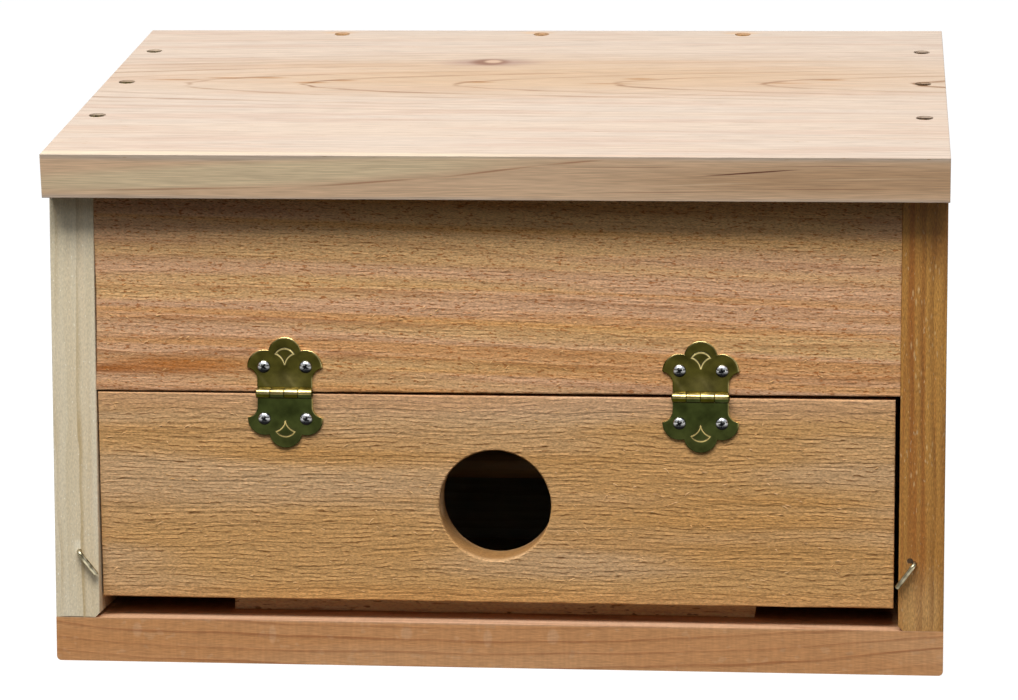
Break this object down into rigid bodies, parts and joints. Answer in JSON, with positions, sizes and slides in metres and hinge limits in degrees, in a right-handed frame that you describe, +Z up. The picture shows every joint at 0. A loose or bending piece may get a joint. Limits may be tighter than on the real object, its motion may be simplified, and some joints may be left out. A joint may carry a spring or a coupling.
{
  "type": "bird roosting box",
  "caption": "Cedar bird roosting box with a lean-to roof, a front door with a round entrance that swings up on stamped brass hinges, turn hooks and dowel perches inside.",
  "frame": {"origin": "middle of the base's underside", "axes": "+X to the right as seen from the front, +Y from the front to the back, +Z up"},
  "size_m": [0.382, 0.2502, 0.2639],
  "materials": {
    "planed_cedar": "planed, unfinished",
    "planed_cedar_red": "planed, unfinished",
    "cedar_sapwood": "planed, unfinished",
    "cedar_heartwood": "planed, unfinished",
    "sawn_cedar": "rough-sawn, unfinished",
    "sawn_cedar_tan": "rough-sawn, unfinished",
    "dowel": "turned, unfinished",
    "zinc_screw": "yellow zinc plate",
    "stamped_brass": "stamped, bright with dulled flats",
    "nickel_screw": "bright nickel plate",
    "brass_wire": "drawn wire, dulled"
  },
  "bodies": {
    "box": {"roof_board": "planed_cedar", "floor_board": "planed_cedar_red", "left_side": "cedar_sapwood", "right_side": "cedar_heartwood", "back_board": "cedar_heartwood", "upper_front_board": "sawn_cedar", "door_stop_strip": "sawn_cedar_tan", "perch_low": "dowel", "perch_front": "dowel", "perch_rear": "dowel", "roof_left_screws": "zinc_screw", "roof_right_screws": "zinc_screw", "roof_back_screws": "zinc_screw", "floor_left_screws": "zinc_screw", "floor_right_screws": "zinc_screw", "floor_back_screws": "zinc_screw", "stop_strip_screws": "zinc_screw", "back_left_screws": "zinc_screw", "back_right_screws": "zinc_screw", "front_left_screws": "zinc_screw", "front_right_screws": "zinc_screw", "left_hinge_upper_leaf": "stamped_brass", "left_hinge_pin": "stamped_brass", "left_hinge_upper_screws": "nickel_screw", "right_hinge_upper_leaf": "stamped_brass", "right_hinge_pin": "stamped_brass", "right_hinge_upper_screws": "nickel_screw"},
    "door": {"door_board": "sawn_cedar_tan", "left_hinge_lower_leaf": "stamped_brass", "left_hinge_lower_screws": "nickel_screw", "right_hinge_lower_leaf": "stamped_brass", "right_hinge_lower_screws": "nickel_screw"},
    "hook_left": {"left_hook": "brass_wire"},
    "hook_right": {"right_hook": "brass_wire"}
  },
  "joints": [
    {"name": "door_hinge", "type": "hinge", "parent": "box", "child": "door", "pos_m": [0, -0.11997, 0.11783], "axis": [-1, 0, 0], "range_deg": [0, 165]},
    {"name": "left_hook_turn", "type": "hinge", "parent": "box", "child": "hook_left", "pos_m": [-0.1798, -0.11747, 0.0479], "axis": [0, -1, 0], "range_deg": [-39, 51]},
    {"name": "right_hook_turn", "type": "hinge", "parent": "box", "child": "hook_right", "pos_m": [0.178, -0.11747, 0.0479], "axis": [0, 1, 0], "range_deg": [-36, 54]}
  ]
}
